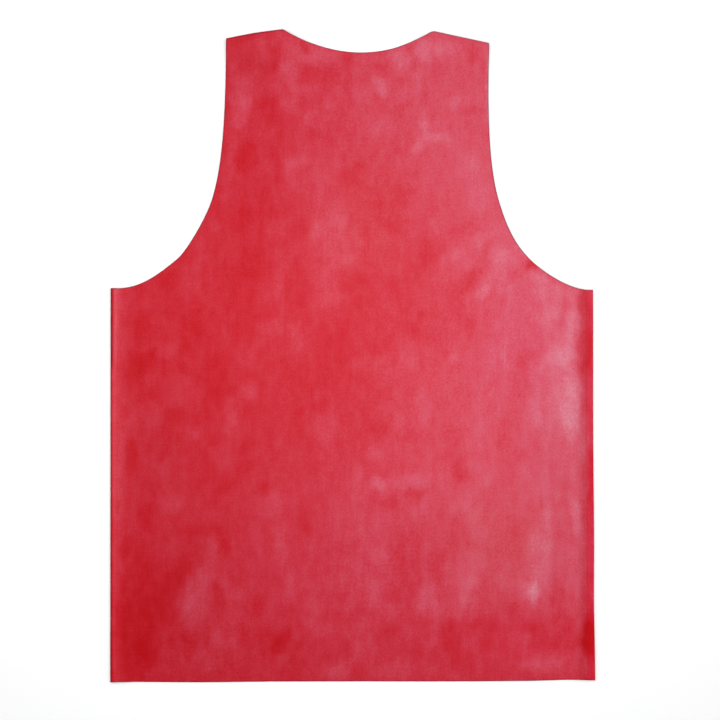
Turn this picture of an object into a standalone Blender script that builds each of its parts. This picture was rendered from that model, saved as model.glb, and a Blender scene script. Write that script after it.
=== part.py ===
"""A latex muscle shirt that lies flat on its front, cut and glued from two panels.

The back panel shows, and the front panel lies under it on the surface. Each panel is one
wall: a sheet of sections worked out from the cut below, folded at its seams and thickened.
Metres, +Z up, +Y towards the neck. The origin is the middle of the underside.
"""

import math

import bmesh
import bpy
from mathutils import Color, Vector, geometry

MM = 0.001

# Driving sizes of the cloth and its seams
WALL = 1.0 * MM
SEAM_GAP = 0.3 * MM
LAP = 7.0 * MM  # from a fold to the edge of the lap

# Heights of the layers' middles where they lie on each other
LAYER = WALL + SEAM_GAP
LOWER = WALL / 2
MIDDLE = LOWER + LAYER
UPPER = MIDDLE + LAYER

# A fold's roll stands this far out past the edge of the layer it goes round
ROLL = LAYER + WALL / 2

# Driving sizes of the cut, in millimetres: x from the middle of the laid width, y up from the hem
LAID_LENGTH = 675.4
HEM = {"left": (-251.0, 0.0), "right": (251.0, 1.6)}

# Each armhole, from the underarm corner up to the shoulder tip
# side: rows of x, y, heading in degrees, handle before, handle after
ARMHOLES = {
    "left": (
        (-250.6, 407.4, -5.0, 0.0, 28.0),
        (-181.4, 438.0, 39.5, 27.5, 10.5),
        (-146.0, 498.7, 72.0, 22.0, 46.0),
        (-131.0, 665.8, 89.0, 50.0, 0.0),
    ),
    "right": (
        (248.8, 405.7, 185.0, 0.0, 22.5),
        (185.8, 435.3, 137.0, 16.0, 24.5),
        (151.1, 498.6, 106.5, 28.5, 45.5),
        (141.0, 661.2, 89.5, 48.5, 0.0),
    ),
}

# The back neckline that shows and the front's scoop under it, from left to right, in the same columns
BACK_NECK = (
    (-72.7, 675.4, -33.0, 0.0, 22.5),
    (8.0, 651.7, 0.0, 28.5, 32.0),
    (83.6, 673.6, 28.0, 25.5, 0.0),
)
FRONT_SCOOP = (
    (-72.7, 675.4, -86.0, 0.0, 60.0),
    (-50.0, 561.0, -51.0, 32.0, 10.0),
    (5.5, 539.0, 0.0, 38.0, 38.0),
    (62.0, 561.0, 52.0, 10.0, 32.0),
    (83.6, 673.6, 86.0, 60.0, 0.0),
)
SCOOP_HEART = (5.5, 620.0)

# Where the side of each armhole is level with the scoop's lower corners
SCOOP_LEVEL = 566.0

# Points of a curve's piece, and rows and columns of the sections
CURVE_POINTS = 40
FLANK_COLUMNS = 6
SHOULDER_COLUMNS = 5
NECK_COLUMNS = 10
BODY_ROWS = 24
CHEST_ROWS = 8
STRAP_ROWS = 6
ROLL_STEPS = 5
LAP_STEPS = 2

# Distances below the shoulder line between which the layers rise over the glued lap
SHOULDER_RISE = (10.0 * MM, 24.0 * MM)

# Distances inside the scoop's edge between which the back panel sinks to the surface
SINK = (26.0 * MM, 56.0 * MM)

# The first column is just past the lap, and the back may lift only beyond it
FIRST_COLUMN = 7.0 * MM
FLAT_SIDE = 20.0 * MM
FLAT_TOP = 40.0 * MM

# The largest soft folds of the back: middle x, middle y, length, width, height, heading in degrees
FOLDS = (
    (222.0, 300.0, 190.0, 34.0, 1.6, 92.0),
    (192.0, 120.0, 170.0, 38.0, 1.7, 86.0),
    (128.0, 85.0, 120.0, 44.0, 1.2, 100.0),
    (60.0, 205.0, 190.0, 52.0, 1.5, 12.0),
    (-28.0, 455.0, 210.0, 56.0, 1.6, 94.0),
    (84.0, 470.0, 150.0, 46.0, 1.3, 70.0),
    (-120.0, 300.0, 200.0, 60.0, 1.1, 80.0),
    (-70.0, 110.0, 180.0, 58.0, 1.2, 104.0),
    (-196.0, 200.0, 220.0, 44.0, 1.3, 88.0),
)

# Colours as seen, from 0 to 1
BACK_RED = (0.82, 0.24, 0.31)
FRONT_RED = (0.80, 0.21, 0.27)


def flat_point(x, y):
    """A point of the cut, in metres from the garment's middle."""
    return Vector((x * MM, (y - LAID_LENGTH / 2) * MM))


def smooth_step(low, high, value):
    """Rises smoothly from 0 at low to 1 at high."""
    share = min(1.0, max(0.0, (value - low) / (high - low)))
    return share * share * (3 - 2 * share)


def direction(heading):
    """The unit vector of a heading in degrees, from +X towards +Y."""
    angle = math.radians(heading)
    return Vector((math.cos(angle), math.sin(angle)))


def curve_through(rows):
    """A finely divided path through rows of x, y, heading, handle before and handle after."""
    path = []
    for (x, y, heading, _, after), (end_x, end_y, end_heading, before, _) in zip(rows, rows[1:]):
        start = flat_point(x, y)
        end = flat_point(end_x, end_y)
        handles = (start + direction(heading) * after * MM, end - direction(end_heading) * before * MM)
        piece = geometry.interpolate_bezier(start, *handles, end, CURVE_POINTS)
        path.extend(piece[1:] if path else piece)
    return [Vector(point[:2]) for point in path]


def spread(path, shares):
    """Points of a path at shares of its length."""
    reach = [0.0]
    for a, b in zip(path, path[1:]):
        reach.append(reach[-1] + (b - a).length)
    points = []
    for share in shares:
        goal = share * reach[-1]
        place = next(i for i in range(1, len(reach)) if reach[i] >= goal - 1e-9)
        part = (goal - reach[place - 1]) / (reach[place] - reach[place - 1])
        points.append(path[place - 1].lerp(path[place], part))
    return points


def even(count):
    """Shares from 0 to 1 in count equal steps."""
    return [step / count for step in range(count + 1)]


def nearest_place(path, point):
    """The place in a path of the point nearest to a given one."""
    return min(range(len(path)), key=lambda i: (path[i] - point).length)


def part_at_level(path, level):
    """Splits a path that climbs at the first point above a level."""
    place = next(i for i, point in enumerate(path) if point.y >= level)
    return path[: place + 1], path[place:]


def moved_in(point, along, distance):
    """A shoulder point moved down from the shoulder line that runs along a direction."""
    down = Vector((along.y, -along.x))
    if down.y > 0:
        down.negate()
    return point + down.normalized() * distance


class Cut:
    """The plan of the garment: its outline paths, with the sides and shoulders inside their rolls."""

    def __init__(self):
        self.armhole = {side: curve_through(ARMHOLES[side]) for side in ("left", "right")}
        self.neck = curve_through(BACK_NECK)
        self.scoop = curve_through(FRONT_SCOOP)
        self.shoulder = {}
        for side, end in (("left", 0), ("right", -1)):
            tip = self.armhole[side][-1]
            along = self.neck[end] - tip
            self.shoulder[side] = (tip, self.neck[end])
            inner_tip = moved_in(tip, along, ROLL)
            inner_neck = moved_in(self.neck[end], along, ROLL)
            self.armhole[side][-1] = inner_tip
            self.neck[end] = inner_neck
            self.scoop[end] = inner_neck
        for side, out in (("left", -1), ("right", 1)):
            self.armhole[side][0] -= Vector((out * ROLL, 0))
        self.hem = {side: flat_point(*HEM[side]) for side in ("left", "right")}
        self.hem["left"].x += ROLL
        self.hem["right"].x -= ROLL

    def turn(self, side):
        """The armhole's point at 45 degrees, where flank and chest meet."""
        x, y = ARMHOLES[side][1][:2]
        return flat_point(x, y)

    def armhole_parts(self, side):
        """The armhole below and above its turn."""
        path = self.armhole[side]
        place = nearest_place(path, self.turn(side))
        return path[: place + 1], path[place:]

    def below_shoulder(self, point):
        """How far a point lies below the line of the shoulder on its side."""
        side = "left" if point.x < flat_point(*SCOOP_HEART).x else "right"
        tip, neck = self.shoulder[side]
        along = (neck - tip).normalized()
        return abs(along.cross(point - tip))

    def inside_scoop(self, point):
        """How far a point lies inside the front's scoop, or 0 outside it."""
        nearest = self.scoop[nearest_place(self.scoop, point)]
        inward = (point - nearest).dot(flat_point(*SCOOP_HEART) - nearest) > 0
        return (point - nearest).length if inward else 0.0


def patch(bottom, top, left, right, row_shares):
    """The rows of a sheet between four edges, blended so that every edge is kept."""
    rows = []
    last = len(bottom) - 1
    for j, v in enumerate(row_shares):
        row = []
        for i in range(last + 1):
            u = i / last
            edges = bottom[i] * (1 - v) + top[i] * v + left[j] * (1 - u) + right[j] * u
            low = bottom[0] * (1 - u) + bottom[last] * u
            high = top[0] * (1 - u) + top[last] * u
            row.append(edges - low * (1 - v) - high * v)
        rows.append(row)
    return rows


def flank_shares(width):
    """Shares across a flank from its side: one column just past the lap, then even ones."""
    first = FIRST_COLUMN / width
    return [0.0] + [first + (1 - first) * share for share in even(FLANK_COLUMNS - 1)]


def body_blocks(cut):
    """The flanks under the armholes and the trunk between them, with the trunk's top edge."""
    rows = even(BODY_ROWS)
    hem_line = (cut.hem["left"], cut.hem["right"])
    hem_width = hem_line[1].x - hem_line[0].x
    foot = {s: hem_line[0].lerp(hem_line[1], (cut.turn(s).x - hem_line[0].x) / hem_width) for s in cut.hem}
    under = {s: cut.armhole_parts(s)[0] for s in cut.hem}
    outer = {s: spread([cut.hem[s], under[s][0]], rows) for s in cut.hem}
    inner = {s: spread([foot[s], under[s][-1]], rows) for s in cut.hem}
    blocks = []
    for side in ("left", "right"):
        columns = flank_shares((foot[side] - cut.hem[side]).length)
        bottom = spread([cut.hem[side], foot[side]], columns)
        blocks.append(patch(bottom, spread(under[side], columns), outer[side], inner[side], rows))
    columns = even(2 * SHOULDER_COLUMNS + NECK_COLUMNS)
    waist = spread([inner["left"][-1], inner["right"][-1]], columns)
    hem = spread([foot["left"], foot["right"]], columns)
    blocks.append(patch(hem, waist, inner["left"], inner["right"], rows))
    return blocks, waist


def strap_shares(path):
    """Even shares of a strap's edge, with two rows kept for the rise at the shoulder."""
    length = sum((b - a).length for a, b in zip(path, path[1:]))
    foot, head = (1 - (distance - ROLL) / length for distance in SHOULDER_RISE[::-1])
    return [share * foot for share in even(STRAP_ROWS)] + [head, 1.0]


def back_blocks(cut):
    """The back's blocks: body, and one yoke up to the shoulders and the shallow neckline."""
    blocks, waist = body_blocks(cut)
    sides = {}
    for side in ("left", "right"):
        chest, strap = part_at_level(cut.armhole_parts(side)[1], flat_point(0, SCOOP_LEVEL).y)
        sides[side] = spread(chest, even(CHEST_ROWS)) + spread(strap, strap_shares(strap))[1:]
    top = spread([cut.armhole["left"][-1], cut.neck[0]], even(SHOULDER_COLUMNS))
    top += spread(cut.neck, even(NECK_COLUMNS))[1:]
    top += spread([cut.neck[-1], cut.armhole["right"][-1]], even(SHOULDER_COLUMNS))[1:]
    height = [0.0]
    for a, b in zip(sides["left"], sides["left"][1:]):
        height.append(height[-1] + (b - a).length)
    shares = [reach / height[-1] for reach in height]
    blocks.append(patch(waist, top, sides["left"], sides["right"], shares))
    return blocks


def front_blocks(cut):
    """The front's blocks: body, chest up to the scoop, and a strap on each side of it."""
    blocks, waist = body_blocks(cut)
    corner = {side: flat_point(*FRONT_SCOOP[row][:2]) for side, row in (("left", 1), ("right", 3))}
    place = {side: nearest_place(cut.scoop, corner[side]) for side in corner}
    bowl = cut.scoop[place["left"] : place["right"] + 1]
    edge = {"left": cut.scoop[place["left"] :: -1], "right": cut.scoop[place["right"] :]}
    chest = {}
    strap = {}
    for side in corner:
        chest[side], strap[side] = part_at_level(cut.armhole_parts(side)[1], flat_point(0, SCOOP_LEVEL).y)
    low = {
        "left": spread([chest["left"][-1], bowl[0]], even(SHOULDER_COLUMNS)),
        "right": spread([bowl[-1], chest["right"][-1]], even(SHOULDER_COLUMNS)),
    }
    top = low["left"] + spread(bowl, even(NECK_COLUMNS))[1:] + low["right"][1:]
    rows = even(CHEST_ROWS)
    blocks.append(patch(waist, top, spread(chest["left"], rows), spread(chest["right"], rows), rows))
    for side in corner:
        shares = strap_shares(strap[side])
        outer = spread(strap[side], shares)
        inner = spread(edge[side], strap_shares(edge[side]))
        left, right = (outer, inner) if side == "left" else (inner, outer)
        shoulder = spread([left[-1], right[-1]], even(SHOULDER_COLUMNS))
        blocks.append(patch(low[side], shoulder, left, right, shares))
    return blocks


def fold_lift(cut, point):
    """The height of the back's soft folds over a point, nothing at the laps and shoulders."""
    lift = 0.0
    for x, y, length, width, height, heading in FOLDS:
        offset = point - flat_point(x, y)
        along = offset.dot(direction(heading)) / (length * MM / 2)
        across = offset.cross(direction(heading)) / (width * MM / 2)
        lift += height * MM * math.exp(-along * along - across * across)
    side_room = min(cut.hem["right"].x - point.x, point.x - cut.hem["left"].x)
    lift *= smooth_step(FIRST_COLUMN, FIRST_COLUMN + FLAT_SIDE, side_room)
    return lift * smooth_step(SHOULDER_RISE[1], SHOULDER_RISE[1] + FLAT_TOP, cut.below_shoulder(point))


def shoulder_lift(cut, point):
    """How far the layers rise over the lap that is glued under each shoulder."""
    return LAYER * (1 - smooth_step(*SHOULDER_RISE, cut.below_shoulder(point)))


def back_height(cut, point):
    """The middle of the back's wall: on the front, risen at the shoulders, sunk inside the scoop."""
    sink = LAYER * smooth_step(*SINK, cut.inside_scoop(point))
    return MIDDLE + shoulder_lift(cut, point) - sink + fold_lift(cut, point)


def front_height(cut, point):
    """The middle of the front's wall: on the surface, risen over the laps at the shoulders."""
    return LOWER + shoulder_lift(cut, point)


def roll_and_lap(edge, outward, start, turn_up):
    """Rows that carry an edge round a fold and back over, or under, the layer between.

    edge is a list of points of the plan, outward the way the fold points, start the height of
    the edge's middle, and turn_up is 1 where the fold goes up and -1 where it goes down."""
    rows = []
    for step in range(ROLL_STEPS + 1):
        angle = math.pi * step / ROLL_STEPS
        reach = LAYER * math.sin(angle)
        rise = LAYER * (1 - math.cos(angle)) * turn_up
        rows.append([(*(point + outward * reach), start + rise) for point in edge])
    for step in range(1, LAP_STEPS + 1):
        reach = (ROLL - LAP) * step / LAP_STEPS
        rise = 2 * LAYER * turn_up
        rows.append([(*(point + outward * reach), start + rise) for point in edge])
    return rows


def side_strips(cut):
    """The front's side edges: round the side folds and over the back panel."""
    strips = []
    for side, out in (("left", -1), ("right", 1)):
        edge = spread([cut.hem[side], cut.armhole[side][0]], even(BODY_ROWS))
        strips.append(roll_and_lap(edge, Vector((out, 0)), LOWER, 1))
    return strips


def shoulder_strips(cut):
    """The back's shoulder edges: round the shoulder folds and under the front panel."""
    strips = []
    for side in ("left", "right"):
        ends = [cut.armhole[side][-1], cut.neck[0 if side == "left" else -1]]
        edge = spread(ends, even(SHOULDER_COLUMNS))
        along = ends[1] - ends[0]
        up = -(moved_in(ends[0], along, 1.0) - ends[0])
        strips.append(roll_and_lap(edge, up, UPPER, -1))
    return strips


def add_sheet(mesh, rows):
    """Adds a grid of faces whose points are the rows given."""
    last_row = len(rows) - 1
    last_column = len(rows[0]) - 1
    made = bmesh.ops.create_grid(mesh, x_segments=last_column, y_segments=last_row, size=1.0)
    for vertex in made["verts"]:
        i = round((vertex.co.x + 1) / 2 * last_column)
        j = round((vertex.co.y + 1) / 2 * last_row)
        vertex.co = rows[j][i]


def latex(name, colour):
    """Matt, slightly waxy latex in one colour."""
    material = bpy.data.materials.new(name)
    material.use_nodes = True
    shader = material.node_tree.nodes["Principled BSDF"]
    shader.inputs["Base Color"].default_value = (*Color(colour).from_srgb_to_scene_linear(), 1.0)
    shader.inputs["Roughness"].default_value = 0.45
    shader.inputs["Metallic"].default_value = 0.0
    return material


def make_panel(name, collection, sheets, material):
    """Welds a panel's sheets at their shared edges and thickens them into one wall."""
    surface = bmesh.new()
    for rows in sheets:
        add_sheet(surface, rows)
    bmesh.ops.remove_doubles(surface, verts=surface.verts, dist=0.02 * MM)
    bmesh.ops.recalc_face_normals(surface, faces=surface.faces)
    mesh = bpy.data.meshes.new(name)
    surface.to_mesh(mesh)
    surface.free()
    mesh.shade_smooth()
    mesh.materials.append(material)
    panel = bpy.data.objects.new(name, mesh)
    collection.objects.link(panel)
    wall = panel.modifiers.new("wall", "SOLIDIFY")
    wall.thickness = WALL
    wall.offset = 0.0
    wall.use_even_offset = True
    return panel


def raised(rows, height):
    """Gives the plan rows of a block their heights."""
    return [[(point.x, point.y, height(point)) for point in row] for row in rows]


def main():
    for old in list(bpy.data.objects):
        bpy.data.objects.remove(old)
    collection = bpy.data.collections.new("latex_muscle_shirt")
    bpy.context.scene.collection.children.link(collection)
    cut = Cut()
    back = [raised(rows, lambda point: back_height(cut, point)) for rows in back_blocks(cut)]
    front = [raised(rows, lambda point: front_height(cut, point)) for rows in front_blocks(cut)]
    make_panel("back_panel", collection, back + shoulder_strips(cut), latex("back_latex", BACK_RED))
    make_panel("front_panel", collection, front + side_strips(cut), latex("front_latex", FRONT_RED))


main()
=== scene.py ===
"""Looks of a latex muscle shirt that lies flat on its front, seen from straight above.

Each panel is a thin shell on its solid's form, worked out from the same cut on a finer grid,
with the soft folds, the creases, the pale bloom of the latex with painted sheen, and its slight
changes of colour with painted light and shade, placed one by one. The tables and the forms are in
millimetres, x from the middle of the laid width and y up from the hem; the scene is in metres,
with its origin at the middle of the underside.
"""

import math
from collections import namedtuple

import bmesh
import bpy
import numpy as np
from mathutils import Color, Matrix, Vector, noise


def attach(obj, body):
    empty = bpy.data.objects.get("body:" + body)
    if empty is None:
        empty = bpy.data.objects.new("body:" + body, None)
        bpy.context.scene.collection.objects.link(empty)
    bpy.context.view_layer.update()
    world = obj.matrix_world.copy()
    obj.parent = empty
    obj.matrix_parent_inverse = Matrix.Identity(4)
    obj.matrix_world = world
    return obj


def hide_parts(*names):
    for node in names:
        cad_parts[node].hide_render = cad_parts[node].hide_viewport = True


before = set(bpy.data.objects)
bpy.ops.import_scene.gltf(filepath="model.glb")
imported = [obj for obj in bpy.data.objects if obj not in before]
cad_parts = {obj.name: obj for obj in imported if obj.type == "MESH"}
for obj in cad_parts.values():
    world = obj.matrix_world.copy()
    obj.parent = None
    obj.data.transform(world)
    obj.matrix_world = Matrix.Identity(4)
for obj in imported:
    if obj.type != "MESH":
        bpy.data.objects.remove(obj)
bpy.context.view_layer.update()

MM = 0.001

SIDES = ("left", "right")

# The cloth, its folds and its glued laps
WALL = 0.5
ROLL = 1.8  # from a fold back to the edge of the layer that it goes round
BEND = ROLL - WALL / 2
LAP = 7.0  # from a fold to the edge of the lap
CLEAR = 0.03  # between layers that are glued or lie on each other

# Heights of the layers' middles
LOWEST = WALL / 2
ROUND_A_FOLD = LOWEST + 2 * BEND
UNDER_A_LAP = ROUND_A_FOLD - WALL - CLEAR
OVER_A_LAP = LOWEST + WALL + CLEAR
UNDER_THE_BACK = 0.3  # air between the panels away from the laps
RESTING = LOWEST + WALL + UNDER_THE_BACK
WELD = 0.02  # points nearer than this are one
SHARP_FROM = 38  # degrees between faces; the cut edges turn by 90

# The cut, as in the solids
LAID_LENGTH = 675.4
HEM = {"left": (-251.0, 0.0), "right": (251.0, 1.6)}

# Each armhole up from the underarm: x, y, heading in degrees, handle before, handle after
ARMHOLES = {
    "left": (
        (-250.6, 407.4, -5.0, 0.0, 28.0),
        (-181.4, 438.0, 39.5, 27.5, 10.5),
        (-146.0, 498.7, 72.0, 22.0, 46.0),
        (-131.0, 665.8, 89.0, 50.0, 0.0),
    ),
    "right": (
        (248.8, 405.7, 185.0, 0.0, 22.5),
        (185.8, 435.3, 137.0, 16.0, 24.5),
        (151.1, 498.6, 106.5, 28.5, 45.5),
        (141.0, 661.2, 89.5, 48.5, 0.0),
    ),
}

# The back's neckline and the front's scoop under it, from left to right, in the same columns
BACK_NECK = (
    (-72.7, 675.4, -33.0, 0.0, 22.5),
    (8.0, 651.7, 0.0, 28.5, 32.0),
    (83.6, 673.6, 28.0, 25.5, 0.0),
)
FRONT_SCOOP = (
    (-72.7, 675.4, -86.0, 0.0, 60.0),
    (-50.0, 561.0, -51.0, 32.0, 10.0),
    (5.5, 539.0, 0.0, 38.0, 38.0),
    (62.0, 561.0, 52.0, 10.0, 32.0),
    (83.6, 673.6, 86.0, 60.0, 0.0),
)
SCOOP_HEART = (5.5, 620.0)
SCOOP_LEVEL = 566.0

# Rows and columns of each panel's grid
Grid = namedtuple("Grid", "flank shoulder neck body chest strap")
BACK_GRID = Grid(flank=24, shoulder=22, neck=60, body=116, chest=40, strap=30)
FRONT_GRID = Grid(flank=14, shoulder=14, neck=40, body=82, chest=28, strap=22)
CURVE_POINTS = 60
CLOSER_AT_THE_SIDES = 1.25  # the power that draws a flank's columns towards the side

# The narrow row or column along each cut edge, and about how long the parts of the grid are
EDGE_BAND = 1.2
BODY_LENGTH = 420.0
CHEST_LENGTH = 130.0
STRAP_LENGTH = 110.0
SHOULDER_LENGTH = 58.0
NECK_LENGTH = 165.0
ROLL_STEPS = 8
LAP_STEPS = 3

# Distances over which the layers come down: from the side laps, and from the shoulder folds
SIDE_FALL = (8.5, 27.0)
BACK_SHOULDER_FALL = (3.0, 30.0)
FRONT_SHOULDER_FALL = (8.0, 24.0)

# Inside the scoop the back steps off the front's edge, and then sinks slowly to the surface
SCOOP_STEP = (-1.0, 4.0)
SCOOP_SINK = (16.0, 56.0)
SCOOP_EDGE = (0.0, 12.0)  # where the least height of the back comes down past the front's wall

# Ripples of the cloth, from noise: height, width and length of a blotch, place in the noise
RIPPLES = (
    (0.14, 48.0, 95.0, 2.3),
    (0.05, 17.0, 36.0, 7.1),
)

# The edges' slight waves: middle x, middle y, reach along x, reach along y, shift in x, shift in y
WAVES = (
    (-155, 0, 60, 45, 0, -0.8),
    (95, 0, 110, 45, 0, -0.7),
    (230, 0, 26, 45, 0, 0.8),
    (-102, 671, 24, 30, 0, 1),
    (250, 250, 30, 100, -0.7, 0),
    (250, 85, 30, 45, -0.8, 0),
)

# Soft folds, as in the solids: middle x, middle y, length, width, height, heading in degrees
FOLDS = (
    (222, 300, 190, 34, 1.6, 92),
    (192, 120, 170, 38, 1.7, 86),
    (128, 85, 120, 44, 1.2, 100),
    (60, 205, 190, 52, 1.5, 12),
    (-28, 455, 210, 56, 1.6, 94),
    (84, 470, 150, 46, 1.3, 70),
    (-120, 300, 200, 60, 1.1, 80),
    (-70, 110, 180, 58, 1.2, 104),
    (-196, 200, 220, 44, 1.3, 88),
)

# Creases on the folds, ridges up and troughs down, in the same columns
CREASES = (
    (228, 288, 110, 16, 0.60, 92),
    (212, 300, 120, 14, -0.30, 90),
    (215, 338, 44, 24, 0.40, 62),
    (205, 378, 52, 16, 0.35, 60),
    (155, 335, 66, 11, 0.40, 92),
    (190, 278, 60, 17, 0.35, 88),
    (202, 160, 130, 12, 0.35, 91),
    (187, 92, 30, 16, 0.45, 80),
    (233, 166, 48, 9, 0.35, 92),
    (124, 409, 52, 13, -0.45, 55),
    (138, 411, 46, 12, 0.40, 55),
    (184, 431, 28, 11, -0.40, 48),
    (118, 92, 50, 15, 0.40, 100),
    (62, 211, 60, 14, 0.35, 5),
    (58, 197, 50, 11, -0.30, 5),
    (29, 206, 22, 13, 0.35, 120),
    (195, 35, 100, 9, -0.30, 170),
    (178, 44, 22, 8, 0.22, 98),
    (-24, 470, 70, 26, 0.35, 95),
    (-60, 532, 58, 16, 0.30, 95),
    (46, 507, 44, 10, -0.25, 3),
    (-54, 417, 30, 9, -0.25, 4),
    (67, 555, 24, 11, 0.25, 62),
    (84, 564, 34, 11, 0.25, 8),
    (28, 616, 30, 12, 0.30, 112),
    (57, 638, 36, 16, 0.28, 85),
    (74, 648, 34, 15, 0.28, 82),
    (-160, 88, 64, 28, 0.40, 78),
    (-143, 54, 42, 15, 0.30, 108),
    (-76, 38, 38, 14, -0.35, 70),
    (-129, 277, 38, 11, 0.30, 92),
    (-82, 188, 32, 15, 0.30, 85),
    (-42, 78, 52, 15, 0.30, 96),
    (-110, 340, 44, 24, 0.25, 50),
    (-228, 320, 70, 18, -0.30, 88),
    (-112, 604, 46, 20, 0.28, 82),
)

# The patches' edges are crisp, and noise frays them along x and y, in the ripples' columns
CRISPNESS = 2.0
FRAY = (
    (4.0, 7.0, 11.0, 31.1),
    (4.0, 7.0, 11.0, 43.9),
)
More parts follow.
